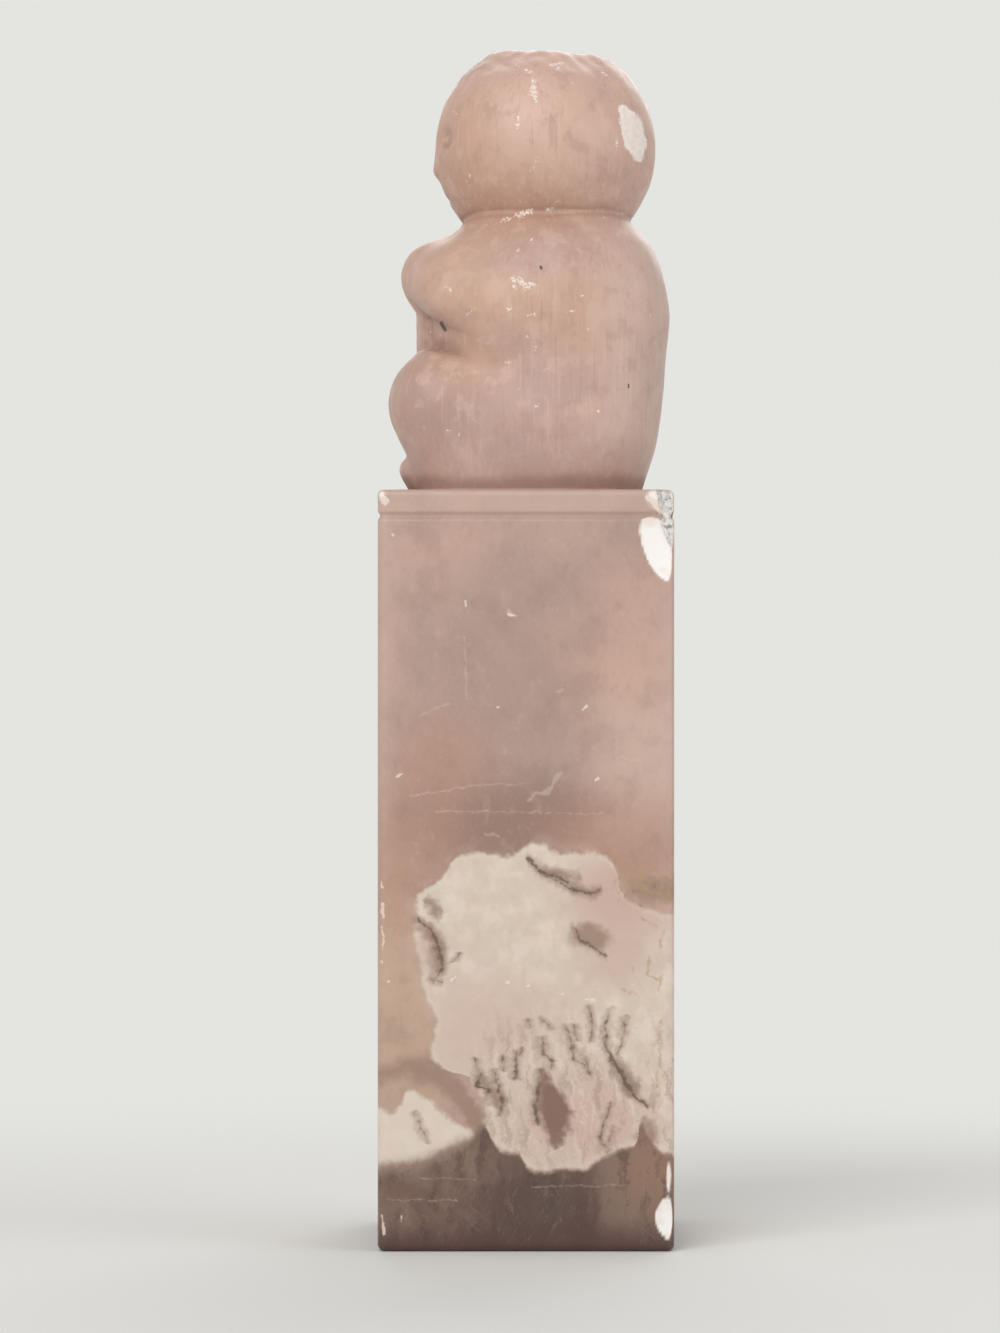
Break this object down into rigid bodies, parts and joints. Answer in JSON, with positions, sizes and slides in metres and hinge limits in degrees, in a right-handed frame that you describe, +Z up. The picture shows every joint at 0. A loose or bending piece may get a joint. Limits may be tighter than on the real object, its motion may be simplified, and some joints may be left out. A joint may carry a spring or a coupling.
{
  "type": "seal stamp",
  "caption": "Square stone seal with a blank, flat seal face and a knob carved from the same bar as a small, round-headed seated figure.",
  "frame": {"origin": "centre of the flat seal face, which the seal stands on", "axes": "+Z up along the bar from the seal face to the figure's crown; the seated figure faces -Y, and +X is its left side"},
  "size_m": [0.025, 0.025, 0.1024],
  "materials": {
    "stone": "hand polished, worn"
  },
  "bodies": {
    "root": {"seal_stone": "stone"}
  },
  "joints": []
}
